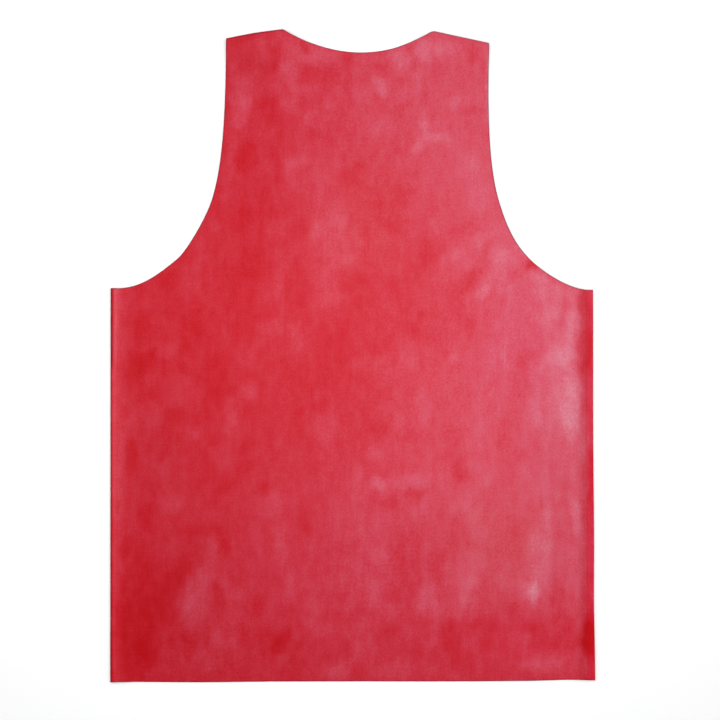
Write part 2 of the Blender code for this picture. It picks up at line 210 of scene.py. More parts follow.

# Bloom and bare places, which also paint sheen on the creases' ridges and shade in their troughs:
# middle x, middle y, length, width, heading in degrees, strength
PATCHES = (
    # The lower part, left of the middle
    (-220, 76, 130, 44, 88, -0.12), (-224, 24, 50, 36, 60, -0.06), (-236, 141, 24, 14, 80, -0.08),
    (-212, 171, 30, 17, 96, -0.08), (-184, 104, 72, 24, 62, -0.12), (-158, 157, 40, 15, 2, -0.09),
    (-163, 83, 62, 32, 82, 0.15), (-170, 86, 34, 8, 88, 0.05), (-149, 119, 40, 23, 80, 0.08),
    (-144, 143, 24, 13, 88, 0.08), (-134, 142, 26, 14, 100, -0.11), (-139, 89, 25, 12, 92, -0.08),
    (-133, 104, 18, 13, 70, 0.06), (-142, 50, 30, 13, 100, 0.12), (-126, 42, 20, 15, 30, 0.07),
    (-124, 76, 40, 20, 95, 0.04), (-150, 25, 42, 26, 20, 0.06), (-184, 22, 40, 26, 100, 0.03),
    (-188, 185, 28, 24, 70, 0.09), (-170, 171, 16, 10, 90, 0.06), (-84, 188, 30, 16, 86, 0.13),
    (-75, 146, 58, 18, 92, 0.10), (-92, 199, 20, 14, 30, -0.08), (-97, 79, 26, 19, 70, -0.07),
    (-89, 62, 28, 16, 90, 0.07), (-76, 36, 36, 17, 66, -0.13), (-62, 14, 26, 22, 60, -0.05),
    (-63, 100, 34, 15, 88, 0.08), (-122, 92, 26, 16, 0, 0.06), (-131, 58, 26, 14, 84, 0.08),
    (-189, 69, 28, 20, 70, -0.06), (-175, 46, 34, 24, 0, -0.05), (-100, 172, 84, 15, 91, 0.06),
    (-70, 190, 26, 20, 0, 0.05), (-90, 44, 30, 22, 90, -0.06), (-54, 53, 32, 12, 52, 0.06),
    (-52, 85, 34, 16, 120, -0.05), (-12, 77, 44, 26, 90, -0.04), (-19, 155, 24, 14, 90, 0.06),
    (-243, 168, 44, 12, 90, -0.05), (-241, 56, 66, 16, 90, -0.07), (-76, 21, 18, 13, 60, 0.07),
    (-15, 57, 34, 18, 150, 0.05), (-42, 75, 48, 13, 92, 0.10), (-32, 54, 24, 15, 100, 0.06),
    (-51, 160, 36, 21, 84, -0.09), (-60, 45, 32, 24, 90, -0.05), (-13, 11, 22, 19, 10, 0.11),
    (-26, 14, 16, 12, 60, 0.05), (-20, 125, 60, 20, 90, -0.03), (-16, 182, 34, 18, 90, 0.04),
    # The lower part, right of the middle
    (5, 12, 20, 13, 84, -0.08), (12, 42, 60, 28, 88, 0.05), (6, 186, 96, 13, 90, 0.07),
    (28, 131, 22, 17, 70, 0.09), (23, 92, 34, 13, 92, 0.08), (29, 162, 40, 18, 90, 0.05),
    (58, 122, 84, 38, 94, -0.07), (49, 127, 36, 11, 92, -0.05), (88, 124, 44, 22, 84, -0.10),
    (75, 92, 40, 14, 70, 0.07), (78, 75, 30, 18, 10, 0.06), (36, 50, 26, 22, 60, -0.07),
    (65, 36, 20, 15, 90, -0.05), (46, 12, 40, 18, 4, 0.07), (104, 46, 38, 26, 80, -0.10),
    (114, 20, 24, 20, 40, -0.05), (122, 41, 24, 19, 60, 0.05), (118, 97, 28, 14, 70, 0.12),
    (109, 74, 28, 15, 76, 0.11), (128, 166, 48, 22, 96, 0.06), (116, 188, 28, 18, 60, 0.06),
    (104, 156, 30, 18, 92, -0.06), (160, 146, 54, 40, 84, -0.08), (164, 80, 30, 22, 95, -0.07),
    (150, 101, 26, 18, 90, 0.03), (13, 61, 22, 13, 90, 0.05), (3, 194, 24, 8, 90, 0.05),
    (19, 143, 34, 10, 92, 0.05), (37, 186, 18, 12, 60, -0.05), (51, 167, 18, 10, 88, 0.07),
    (86, 172, 28, 18, 80, -0.06), (68, 155, 34, 14, 92, -0.05), (118, 156, 34, 14, 90, -0.06),
    (106, 186, 22, 16, 90, 0.06), (141, 190, 26, 20, 84, -0.05), (165, 155, 34, 30, 0, -0.03),
    (120, 121, 36, 26, 90, 0.06), (138, 216, 28, 20, 90, 0.07), (195, 108, 26, 10, 90, 0.06),
    (243, 14, 26, 12, 90, 0.12), (142, 84, 54, 28, 92, -0.13), (98, 82, 46, 24, 100, -0.09),
    (50, 86, 44, 32, 20, -0.09), (184, 79, 52, 24, 4, -0.09), (237, 84, 32, 18, 90, -0.08),
    (106, 134, 40, 18, 90, -0.05), (139, 44, 32, 28, 70, -0.05), (236, 56, 20, 16, 90, 0.06),
    (187, 91, 22, 12, 86, 0.30), (183, 99, 20, 8, 2, 0.12), (190, 128, 58, 21, 88, 0.11),
    (201, 160, 150, 9, 90.5, 0.10), (188, 180, 16, 12, 20, -0.08), (232, 168, 38, 9, 94, 0.17),
    (227, 190, 22, 10, 104, 0.05), (213, 91, 32, 20, 84, -0.12), (229, 78, 30, 16, 90, -0.05),
    (242, 46, 36, 15, 88, -0.13), (198, 20, 44, 20, 8, 0.09), (179, 43, 18, 7, 92, 0.09),
    (191, 59, 32, 20, 84, -0.06), (166, 46, 24, 17, 10, 0.04), (236, 31, 12, 8, 150, 0.09),
    (205, 17, 56, 14, 0, 0.08), (245, 14, 44, 11, 90, 0.13), (250, 20, 60, 5, 90, 0.14),
    (247, 205, 66, 7, 90, -0.12), (240, 250, 44, 11, 90, 0.13), (241, 389, 26, 10, 90, 0.06),
    (251, 125, 170, 4, 90, 0.12),
    # The middle, left of the left armhole's turn and below it
    (-225, 325, 36, 26, 60, -0.12), (-207, 336, 14, 11, 10, -0.13), (-223, 366, 36, 20, 80, -0.07),
    (-191, 342, 19, 16, 20, 0.10), (-204, 349, 18, 10, 4, 0.05), (-215, 281, 30, 24, 10, 0.06),
    (-229, 268, 28, 14, 84, 0.08), (-179, 302, 36, 24, 80, 0.08), (-167, 365, 50, 24, 86, -0.08),
    (-143, 318, 66, 32, 88, -0.05), (-125, 303, 24, 9, 90, -0.05), (-109, 301, 24, 20, 70, 0.12),
    (-111, 337, 26, 20, 80, 0.07), (-92, 355, 38, 16, 48, 0.06), (-128, 275, 38, 13, 92, 0.13),
    (-185, 272, 28, 24, 40, -0.07), (-162, 257, 16, 14, 60, 0.09), (-230, 233, 32, 13, 90, -0.13),
    (-210, 228, 26, 20, 90, 0.04), (-194, 216, 26, 12, 88, 0.08), (-188, 243, 24, 18, 20, -0.03),
    (-135, 232, 28, 20, 86, 0.08), (-112, 226, 36, 16, 90, -0.05), (-130, 205, 20, 18, 0, -0.05),
    (-166, 418, 44, 26, 84, 0.07), (-191, 414, 22, 18, 40, -0.06), (-215, 391, 22, 14, 0, 0.04),
    (-84, 413, 44, 24, 84, 0.08), (-72, 388, 26, 10, 90, 0.06), (-118, 385, 60, 30, 90, -0.04),
    (-120, 258, 22, 12, 90, 0.05), (-80, 368, 42, 17, 2, 0.07), (-231, 357, 25, 14, 88, 0.07),
    (-205, 270, 26, 15, 60, 0.06), (-241, 300, 110, 10, 90, -0.08), (-214, 294, 22, 12, 0, -0.05),
    (-177, 326, 22, 19, 0, -0.06), (-155, 276, 44, 15, 90, -0.05), (-136, 288, 30, 13, 100, -0.05),
    (-148, 214, 64, 20, 90, -0.05), (-41, 313, 60, 34, 0, -0.07), (-55, 407, 36, 14, 94, -0.07),
    (-83, 427, 26, 17, 60, -0.09), (-125, 421, 22, 19, 30, -0.04), (-43, 236, 62, 16, 90, -0.06),
    (-57, 355, 32, 17, 92, 0.09), (-56, 273, 56, 26, 88, -0.05),
    # The middle, up to the right armhole's turn
    (-24, 402, 38, 30, 80, 0.08), (-22, 348, 46, 42, 90, -0.07), (8, 393, 17, 15, 0, -0.06),
    (-36, 286, 34, 13, 22, -0.07), (-31, 262, 36, 26, 40, 0.08), (60, 374, 36, 30, 90, -0.07),
    (-20, 446, 96, 54, 94, 0.12), (218, 352, 100, 34, 90, 0.12), (214, 276, 54, 13, 92, 0.11),
    (196, 300, 120, 20, 90, 0.06), (206, 407, 62, 22, 152, 0.12), (246, 400, 26, 10, 90, 0.10),
    (170, 436, 38, 20, 112, 0.10), (156, 411, 26, 13, 84, 0.10), (163, 384, 76, 14, 90, 0.06),
    (104, 432, 44, 28, 10, 0.07), (143, 333, 42, 17, 92, 0.07), (130, 288, 52, 19, 90, 0.06),
    (34, 327, 62, 19, 2, 0.07), (20, 290, 28, 19, 30, -0.06), (60, 254, 40, 16, 0, -0.05),
    (160, 230, 46, 26, 86, -0.08), (168, 272, 22, 15, 80, -0.06), (173, 314, 48, 14, 88, -0.09),
    (204, 224, 30, 18, 20, -0.05), (80, 360, 44, 22, 10, -0.06), (113, 377, 42, 16, 84, -0.08),
    (42, 413, 52, 28, 4, -0.06), (67, 427, 18, 15, 0, -0.06), (219, 392, 36, 14, 160, -0.13),
    (233, 362, 36, 9, 98, -0.11), (203, 303, 24, 11, 90, -0.07), (173, 424, 28, 13, 30, -0.09),
    (152, 437, 20, 14, 0, -0.06), (201, 370, 24, 16, 30, 0.06), (225, 350, 24, 13, 110, 0.07),
    (192, 421, 24, 9, 142, 0.10), (-7, 414, 48, 24, 12, -0.09), (-25, 450, 34, 22, 80, -0.06),
    (-158, 446, 32, 16, 102, 0.06), (30, 349, 28, 24, 0, -0.05), (58, 336, 34, 18, 110, 0.10),
    (105, 335, 13, 11, 80, 0.12), (73, 289, 56, 16, 92, 0.09), (47, 269, 16, 11, 80, 0.05),
    (28, 265, 26, 22, 90, -0.05), (19, 236, 20, 15, 150, 0.10), (3, 214, 26, 8, 90, 0.07),
    (28, 205, 19, 15, 130, 0.21), (65, 208, 46, 16, 4, 0.13), (62, 195, 28, 8, 176, -0.11),
    (70, 175, 22, 19, 60, 0.08), (45, 182, 28, 14, 110, -0.08), (111, 215, 32, 19, 82, -0.14),
    (104, 247, 52, 19, 84, -0.08), (130, 251, 42, 20, 96, 0.06), (128, 222, 15, 12, 60, 0.07),
    (155, 257, 38, 20, 88, -0.07), (188, 236, 24, 18, 20, -0.05), (157, 335, 44, 7, 92, 0.13),
    (124, 369, 34, 15, 88, -0.09), (150, 369, 20, 17, 0, 0.05), (188, 281, 40, 16, 90, 0.10),
    (183, 335, 28, 20, 10, -0.08), (216, 337, 26, 22, 10, 0.20), (226, 288, 70, 20, 91, 0.30),
    (222, 262, 22, 10, 88, 0.08), (208, 293, 56, 16, 90, 0.10), (210, 357, 24, 12, 8, -0.06),
    (202, 385, 34, 22, 60, 0.11), (193, 404, 22, 15, 90, 0.07), (214, 371, 19, 14, 70, -0.11),
    (228, 372, 48, 12, 92, 0.16), (240, 393, 26, 16, 84, -0.15), (240, 341, 52, 17, 90, -0.17),
    (122, 416, 34, 17, 60, -0.15), (105, 400, 42, 15, 88, -0.09), (134, 403, 20, 11, 40, 0.17),
    (143, 418, 28, 13, 66, 0.08), (153, 431, 34, 14, 80, 0.09), (185, 431, 19, 12, 140, -0.28),
    (208, 416, 18, 8, 150, -0.06),
    # The upper part
    (-111, 604, 34, 19, 84, 0.14), (-116, 581, 20, 17, 30, 0.12), (-111, 622, 20, 17, 0, 0.07),
    (-110, 650, 32, 28, 90, -0.05), (-79, 647, 28, 10, 90, -0.13), (-66, 634, 26, 20, 88, 0.11),
    (-62, 655, 22, 16, 60, 0.06), (-50, 657, 12, 10, 150, -0.11), (-32, 651, 32, 14, 170, 0.08),
    (-33, 628, 42, 24, 2, -0.12), (-6, 642, 20, 13, 90, -0.12), (-34, 607, 30, 14, 60, -0.05),
    (-24, 597, 14, 10, 0, 0.05), (-87, 590, 34, 25, 84, -0.07), (-70, 573, 32, 22, 80, -0.05),
    (-111, 543, 36, 23, 88, -0.09), (-85, 549, 22, 13, 90, -0.06), (-66, 528, 34, 14, 94, 0.12),
    (-35, 514, 56, 22, 90, 0.08), (-50, 548, 24, 20, 90, 0.04), (-25, 560, 18, 13, 0, -0.05),
    (-110, 479, 34, 26, 30, -0.08), (-105, 434, 58, 30, 92, -0.06), (-78, 471, 28, 21, 10, 0.06),
    (-55, 459, 44, 20, 90, -0.06), (-39, 465, 22, 12, 80, 0.10), (-20, 468, 58, 30, 92, 0.06),
    (-9, 477, 18, 14, 0, 0.06), (-6, 437, 14, 11, 20, 0.10), (-31, 435, 15, 10, 0, -0.06),
    (-75, 432, 26, 20, 90, 0.05), (-143, 472, 14, 11, 80, 0.09), (10, 638, 20, 15, 90, 0.05),
    (28, 617, 25, 13, 122, 0.22), (30, 641, 17, 14, 20, -0.06), (49, 645, 24, 20, 30, 0.13),
    (73, 652, 26, 17, 80, 0.19), (97, 657, 28, 14, 168, 0.14), (66, 622, 36, 13, 88, 0.08),
    (124, 650, 24, 18, 110, -0.12), (134, 640, 30, 8, 90, -0.08), (128, 592, 22, 16, 0, -0.10),
    (106, 601, 26, 15, 0, 0.06), (33, 574, 25, 21, 60, 0.08), (74, 582, 34, 12, 90, 0.09),
    (66, 552, 17, 12, 60, 0.17), (84, 564, 30, 9, 4, 0.12), (49, 508, 27, 14, 0, -0.11),
    (50, 473, 19, 15, 80, -0.06), (84, 471, 17, 13, 90, 0.08), (80, 444, 42, 30, 84, -0.09),
    (111, 448, 28, 24, 30, 0.06), (129, 500, 32, 22, 96, 0.07), (115, 540, 42, 32, 90, 0.04),
    (150, 455, 54, 19, 106, 0.07), (8, 455, 17, 11, 10, 0.06), (24, 491, 22, 17, 80, -0.05),
    (-122, 612, 64, 14, 89, 0.08), (-112, 600, 18, 15, 20, 0.05), (-125, 562, 62, 12, 86, 0.07),
    (-128, 530, 26, 14, 80, 0.08), (-132, 510, 28, 12, 76, 0.06), (-65, 602, 42, 19, 88, 0.09),
    (-92, 579, 20, 12, 0, 0.04), (-46, 644, 23, 12, 176, 0.10), (-45, 583, 16, 12, 90, 0.06),
    (-56, 538, 26, 13, 4, 0.10), (-53, 513, 26, 12, 92, 0.07), (-88, 535, 22, 15, 60, 0.06),
    (-20, 530, 42, 13, 90, 0.06), (11, 608, 28, 18, 74, 0.10), (22, 577, 44, 24, 50, 0.07),
    (37, 647, 30, 10, 16, 0.11), (82, 653, 16, 15, 0, 0.11), (51, 607, 28, 17, 50, 0.08),
    (74, 568, 26, 19, 104, 0.12), (92, 560, 18, 11, 0, 0.11), (122, 532, 44, 26, 112, 0.07),
    (132, 457, 20, 14, 62, 0.14), (150, 440, 26, 20, 110, 0.08), (120, 489, 20, 14, 60, 0.05),
    (-88, 630, 32, 17, 104, -0.05), (-94, 660, 18, 13, 0, -0.06), (-40, 567, 20, 11, 2, -0.08),
    (-16, 583, 24, 12, 60, -0.05), (1, 524, 36, 26, 62, -0.09), (26, 507, 34, 20, 68, -0.06),
    (50, 494, 22, 15, 0, -0.10), (36, 478, 42, 22, 112, -0.07), (18, 479, 18, 13, 150, -0.05),
    (49, 551, 19, 13, 0, -0.06), (53, 638, 24, 13, 70, 0.07), (93, 572, 28, 11, 130, 0.08),
    (-55, 452, 30, 18, 30, 0.06), (-98, 659, 18, 13, 0, 0.08), (-73, 520, 18, 12, 0, -0.08),
    (-90, 496, 54, 20, 106, -0.06), (114, 469, 34, 13, 2, -0.07), (45, 591, 16, 13, 0, -0.06),
    (120, 585, 24, 14, 60, -0.05), (140.6, 618, 84, 2.6, 90, 0.14),
    # Wide places under the others
    (-62, 640, 130, 70, 5, 0.06), (-35, 590, 90, 50, 90, 0.04), (5, 330, 230, 66, 92, -0.06),
    (70, 395, 170, 80, 86, -0.05), (80, 125, 120, 80, 0, -0.03), (205, 105, 90, 60, 0, -0.05),
    (215, 170, 90, 70, 90, -0.04), (-90, 300, 260, 60, 90, -0.02),
)

# The bloom's slow change, with painted sheen that grows to the right and at the top: its least, what
# it gains to the right, and what the hem's band loses
LEAST_BLOOM = 0.20
SHEEN_TO_THE_RIGHT = 0.37
GAIN_BETWEEN = (-200.0, 240.0)
SHEEN_AT_THE_TOP = 0.03
TOP_FROM = ((-80.0, 0.0), (440.0, 520.0))  # where that gain comes in, along x and along y
HEM_LOSS = (0.02, 0.25)  # at the left, and more to the right by a power
HEM_LOSS_POWER = 1.5
HEM_BAND = (58.0, 88.0)
HEM_BAND_WANDER = (14.0, 26.0, 200.0, 8.8)  # in the ripples' columns

# Mottling, in the same columns, its strength at the left, and what that gains to the right
MOTTLES = (
    (0.03, 18.0, 34.0, 3.9),
    (0.05, 8.0, 14.0, 5.2),
)
MOTTLE_STRENGTH = (0.7, 0.6)

# The left side's look changes up high: levels over which its painted highlight and shade in the bloom
# do, and its painted shade
UP_HIGH = (315.0, 350.0)
SHADE_UP_HIGH = (315.0, 330.0)

# The left fold's pale strip, a painted highlight on its roll: where it starts and fades, and what is
# added up high or by level
LEFT_HIGHLIGHT = 0.17
STRIP_START = (-0.8, 1.2)
STRIP_START_UP_HIGH = 2.0
STRIP_FADE = (4.0, 12.0)
STRIP_WIDER = 8.0
STRIP_WIDENS = (40.0, 260.0)

# The strip's strength, as shares: at the hem, gained by level, and lost up high
STRIP_AT_THE_HEM = 0.6
STRIP_GAIN = 0.65
STRIP_GAINS = (120.0, 200.0)
STRIP_LOSS = 0.25

# A painted highlight line up high: distance from the fold, half width, strength
LEFT_HIGHLIGHT_LINE = (4.2, 2.0, 0.16)

# Painted shade at the left fold's rim, wider and fainter up high, and a painted shade strip on the
# right side, where its fold turns from the light
LEFT_RIM_SHADE = -0.30
RIM_END = (-0.8, 0.6)
RIM_END_UP_HIGH = 1.4
RIM_LOSS = 0.5
RIGHT_SHADE_STRIP = -0.30
RIGHT_STRIP_FADE = (2.0, 17.0)

# Warmer and cooler places, whose red gains paint the light's falloff, brighter in the middle and
# dimmer towards the hem and the sides, and whose blue gains change the tone: middle x, middle y,
# length, width, heading, gain of red, gain of blue
PAINTED_LIGHT_AND_TINTS = (
    (-40, 375, 420, 260, 0, 0.065, -0.065),
    (20, 105, 520, 150, 0, -0.045, 0.045),
    (-205, 230, 860, 430, 90, -0.088, 0),
    (-20, 5, 620, 120, 0, -0.06, 0),
    (-170, 90, 150, 80, 90, -0.04, 0),
    (-199, 235, 120, 60, 90, -0.035, 0),
    (-110, 640, 60, 60, 90, -0.04, 0),
    (215, 215, 170, 70, 90, -0.035, 0),
    (170, 37, 120, 50, 0, 0.035, 0.05),
    (155, 140, 110, 100, 0, -0.02, -0.12),
    (180, 350, 130, 120, 90, 0, 0.07),
    (18, 488, 130, 80, 90, 0, -0.07),
)

# The same on the side folds, painted light on their rolls: gain of red, of blue on the left and right,
# and how far in they fade
FOLD_LIGHT_RED = 0.10
FOLD_LIGHT_BLUE = (-0.06, 0.38)
LEFT_FOLD_FADE = (4.0, 14.0)
RIGHT_FOLD_FADE = (0.5, 8.0)

# Painted shade: how much darker the cut edges are, partly their own raw red, and the left and shoulder
# folds, with how far in they fade
EDGE_SHADE = 0.65
LEFT_SHADE = 0.46
LEFT_SHADE_UP_HIGH = 0.12  # added up high, where it also reaches 1 mm further in
LEFT_SHADE_FADE = (-1.6, 0.7)
SHOULDER_SHADE = 0.35
SHOULDER_SHADE_FADE = (0.0, 1.6)

# The painted shadow beside the right lap's step: distance from the fold, half width, strength
LAP_SHADOW_LINE = (11.5, 4.5, 0.11)

# Colours of the cloth, from 0 to 255, at shares of bloom and painted sheen
BLOOM_AND_SHEEN_COLOURS = (
    (0.0, (183, 2, 13)),
    (0.15, (191, 22, 37)),
    (0.30, (196, 44, 60)),
    (0.45, (200, 63, 80)),
    (0.60, (203, 80, 99)),
    (0.80, (206, 103, 120)),
    (1.0, (209, 126, 141)),
)

# Finer marks of the bloom, from noise: size of its blotches in x, y and z, detail, strength
FINE_MARKS = (
    ((9.0, 16.0, 20.0), 4.0, 0.25),
    ((2.2, 36.0, 20.0), 2.0, 0.09),
    ((22.0, 1.9, 20.0), 2.0, 0.08),
)

# The grain and the wrinkles that also raise the surface: size of their blotches, detail
GRAIN = ((1.4, 1.8, 2.0), 2.0)
WRINKLES = ((7.0, 15.0, 10.0), 2.0)
GRAIN_IN_BLOOM = (0.46, 0.18)  # what full bloom adds to its strength, and its strength on bare latex
GRAIN_RELIEF = 0.12
RELIEF = 0.16
ROUGHNESS = (0.20, 0.38)  # what full bloom adds, and the roughness of bare latex

# Soft lights: name, place and size in metres, power, and whether the cloth's gloss shows them
LIGHTS = (
    ("softbox_right", (1.25, 0.35, 1.30), 0.9, 7.6, True),
    ("softbox_left", (-1.40, 0.15, 1.10), 0.9, 6.0, True),
    ("softbox_above", (0.0, 0.02, 1.15), 1.0, 12.0, False),
)

# The room's light fades from the horizon up to this height, from the first strength to the other
ROOM_FADE = (0.0, 0.9)
ROOM_LIGHT = (0.48, 0.10)

# The floor: its width in metres, and how far it lies below the cloth in millimetres
FLOOR_WIDTH = 8.0
FLOOR_BELOW = 0.1

# The photo's view: the width that it spans at the cloth's edges, and the place under its middle
VIEW_WIDTH = 745.2
VIEW_MIDDLE = (7.5, 333.1)
EDGE_HEIGHT = 1.8
LENS = 70.0
SENSOR = 36.0


def direction(heading):
    """The unit vector of a heading in degrees, from +X towards +Y."""
    angle = math.radians(heading)
    return np.array((math.cos(angle), math.sin(angle)))


def smooth_step(low, high, value):
    """Rises smoothly from 0 at low to 1 at high."""
    share = np.clip((value - low) / (high - low), 0.0, 1.0)
    return share * share * (3 - 2 * share)


def across(a, b):
    """The cross product of plan vectors."""
    return a[..., 0] * b[..., 1] - a[..., 1] * b[..., 0]


def curve_through(rows):
    """A finely divided path through rows of x, y, heading, handle before and handle after."""
    path = [np.array([rows[0][:2]])]
    t = np.linspace(0, 1, CURVE_POINTS)[1:, None]
    for (x, y, heading, _, after), (end_x, end_y, end_heading, before, _) in zip(rows, rows[1:]):
        start = np.array((x, y))
        end = np.array((end_x, end_y))
        first = start + direction(heading) * after
        second = end - direction(end_heading) * before
        near = (1 - t) ** 3 * start + 3 * (1 - t) ** 2 * t * first
        path.append(near + 3 * (1 - t) * t ** 2 * second + t ** 3 * end)
    return np.vstack(path)


def lengths_along(path):
    """The length of a path up to each of its points."""
    return np.concatenate([[0.0], np.cumsum(np.linalg.norm(np.diff(path, axis=0), axis=1))])


def spread(path, shares):
    """Points of a path at shares of its length."""
    path = np.asarray(path)
    reach = lengths_along(path)
    return np.stack([np.interp(shares * reach[-1], reach, path[:, k]) for k in (0, 1)], axis=1)


def even(count):
    """Shares from 0 to 1 in count equal steps."""
    return np.linspace(0, 1, count + 1)


def banded(count, length):
    """Shares from 0 to 1 in count equal steps, with a narrow band at each end of that length."""
    band = EDGE_BAND / length
    return np.sort(np.append(even(count), (band, 1 - band)))


def trunk_columns(grid):
    """Shares of the trunk's columns, banded like the shoulders and the neckline above them."""
    shares = np.zeros(1)
    width = 2 * grid.shoulder + grid.neck
    for count, length in (
        (grid.shoulder, SHOULDER_LENGTH),
        (grid.neck, NECK_LENGTH),
        (grid.shoulder, SHOULDER_LENGTH),
    ):
        part = banded(count, length)[1:] * count / width
        shares = np.append(shares, shares[-1] + part)
    return shares


def nearest_place(path, point):
    """The place in a path of the point nearest to a given one."""
    return int(np.linalg.norm(path - np.asarray(point), axis=1).argmin())


def part_at_level(path, level):
    """Splits a path that climbs at the first point above a level."""
    place = int(np.argmax(path[:, 1] >= level))
    return path[: place + 1], path[place:]


def downhill(along):
    """The unit vector at right angles to a shoulder line that points down the garment."""
    down = np.array((along[1], -along[0])) / np.linalg.norm(along)
    return down if down[1] < 0 else -down


class Cut:
    """The plan of the garment: its outline paths, with the sides and shoulders inside their rolls."""

    def __init__(self):
        self.armhole = {side: curve_through(ARMHOLES[side]) for side in SIDES}
        self.neck = curve_through(BACK_NECK)
        self.scoop = curve_through(FRONT_SCOOP)
        self.shoulder = {}
        for side, end in (("left", 0), ("right", -1)):
            tip = self.armhole[side][-1].copy()
            neck = self.neck[end].copy()
            down = downhill(neck - tip)
            self.shoulder[side] = (tip, neck)
            self.armhole[side][-1] = tip + down * ROLL
            self.neck[end] = neck + down * ROLL
            self.scoop[end] = neck + down * ROLL
        self.hem = {side: np.array(HEM[side]) for side in SIDES}
        for side, out in (("left", -1), ("right", 1)):
            self.armhole[side][0, 0] -= out * ROLL
            self.hem[side][0] -= out * ROLL

    def armhole_parts(self, side):
        """The armhole below and above its turn, where flank and chest meet."""
        path = self.armhole[side]
        place = nearest_place(path, ARMHOLES[side][1][:2])
        return path[: place + 1], path[place:]

    def below_shoulder(self, points):
        """How far points lie below the line of the shoulder on their side."""
        depth = []
        for side in SIDES:
            tip, neck = self.shoulder[side]
            depth.append(np.abs(across(neck - tip, points - tip)) / np.linalg.norm(neck - tip))
        return np.where(points[:, 0] < SCOOP_HEART[0], *depth)

    def inside_scoop(self, points):
        """How far points lie inside the front's scoop; below 0 outside it."""
        away = np.linalg.norm(points[:, None] - self.scoop[None], axis=2)
        nearest = self.scoop[away.argmin(axis=1)]
        inward = ((points - nearest) * (np.array(SCOOP_HEART) - nearest)).sum(axis=1) > 0
        return np.where(inward, 1.0, -1.0) * away.min(axis=1)

    def from_sides(self, points):
        """How far points lie from the left and right edges of the panel."""
        return points[:, 0] - self.hem["left"][0], self.hem["right"][0] - points[:, 0]


def shares_along(path):
    """The share of a path's length at each of its points."""
    reach = lengths_along(path)
    return reach / reach[-1]


def sheet_between(bottom, top, left, right):
    """The points of a sheet between four edges, blended so that every edge is kept."""
    u = shares_along(bottom)[None, :, None]
    v = shares_along(left)[:, None, None]
    edges = bottom[None] * (1 - v) + top[None] * v + left[:, None] * (1 - u) + right[:, None] * u
    low = bottom[0] * (1 - u) + bottom[-1] * u
    high = top[0] * (1 - u) + top[-1] * u
    return edges - low * (1 - v) - high * v


def body_blocks(cut, grid):
    """The flanks under the armholes and the trunk between them, with the trunk's top edge."""
    rows = banded(grid.body, BODY_LENGTH)
    turn = {side: ARMHOLES[side][1][0] for side in cut.hem}
    hem_line = cut.hem["right"] - cut.hem["left"]
    share = {side: (turn[side] - cut.hem["left"][0]) / hem_line[0] for side in cut.hem}
    foot = {side: cut.hem["left"] + hem_line * share[side] for side in cut.hem}
    under = {side: cut.armhole_parts(side)[0] for side in cut.hem}
    outer = {side: spread([cut.hem[side], under[side][0]], rows) for side in cut.hem}
    inner = {side: spread([foot[side], under[side][-1]], rows) for side in cut.hem}
    columns = even(grid.flank) ** CLOSER_AT_THE_SIDES
    blocks = []
    for side in SIDES:
        bottom = spread([cut.hem[side], foot[side]], columns)
        top = spread(under[side], columns)
        blocks.append(sheet_between(bottom, top, outer[side], inner[side]))
    columns = trunk_columns(grid)
    waist = spread([inner["left"][-1], inner["right"][-1]], columns)
    hem = spread([foot["left"], foot["right"]], columns)
    blocks.append(sheet_between(hem, waist, inner["left"], inner["right"]))
    return blocks, waist


def joined(*paths):
    """Paths that follow each other as one, with each shared point once."""
    return np.vstack([paths[0], *(path[1:] for path in paths[1:])])


def back_blocks(cut, grid):
    """The back's blocks: body, and one yoke up to the shoulders and the shallow neckline."""
    blocks, waist = body_blocks(cut, grid)
    sides = {}
    for side in SIDES:
        chest, strap = part_at_level(cut.armhole_parts(side)[1], SCOOP_LEVEL)
        strap = spread(strap, banded(grid.strap, STRAP_LENGTH))
        sides[side] = joined(spread(chest, even(grid.chest)), strap)
    shoulder = banded(grid.shoulder, SHOULDER_LENGTH)
    top = joined(
        spread([cut.armhole["left"][-1], cut.neck[0]], shoulder),
        spread(cut.neck, banded(grid.neck, NECK_LENGTH)),
        spread([cut.neck[-1], cut.armhole["right"][-1]], shoulder),
    )
    blocks.append(sheet_between(waist, top, sides["left"], sides["right"]))
    return blocks


def front_blocks(cut, grid):
    """The front's blocks: body, chest up to the scoop, and a strap on each side of it."""
    blocks, waist = body_blocks(cut, grid)
    corner = {"left": FRONT_SCOOP[1], "right": FRONT_SCOOP[3]}
    place = {side: nearest_place(cut.scoop, corner[side][:2]) for side in corner}
    bowl = cut.scoop[place["left"] : place["right"] + 1]
    edge = {"left": cut.scoop[place["left"] :: -1], "right": cut.scoop[place["right"] :]}
    parts = {side: part_at_level(cut.armhole_parts(side)[1], SCOOP_LEVEL) for side in place}
    shoulder = banded(grid.shoulder, SHOULDER_LENGTH)
    low = {
        "left": spread([parts["left"][0][-1], bowl[0]], shoulder),
        "right": spread([bowl[-1], parts["right"][0][-1]], shoulder),
    }
    top = joined(low["left"], spread(bowl, banded(grid.neck, NECK_LENGTH)), low["right"])
    chest = {side: spread(parts[side][0], banded(grid.chest, CHEST_LENGTH)) for side in place}
    blocks.append(sheet_between(waist, top, chest["left"], chest["right"]))
    for side in place:
        outer = spread(parts[side][1], banded(grid.strap, STRAP_LENGTH))
        inner = spread(edge[side], banded(grid.strap, STRAP_LENGTH))
        left, right = (outer, inner) if side == "left" else (inner, outer)
        high = spread([left[-1], right[-1]], shoulder)
        blocks.append(sheet_between(low[side], high, left, right))
    return blocks


def soft_mark(points, x, y, length, width, heading, crispness=1.0):
    """1 at a mark's middle, fading to its length and width, softly or at a crisper edge."""
    offset = points - np.array((x, y))
    along = offset @ direction(heading) / (length / 2)
    beside = across(offset, direction(heading)) / (width / 2)
    return np.exp(-(along ** 2 + beside ** 2) ** crispness)


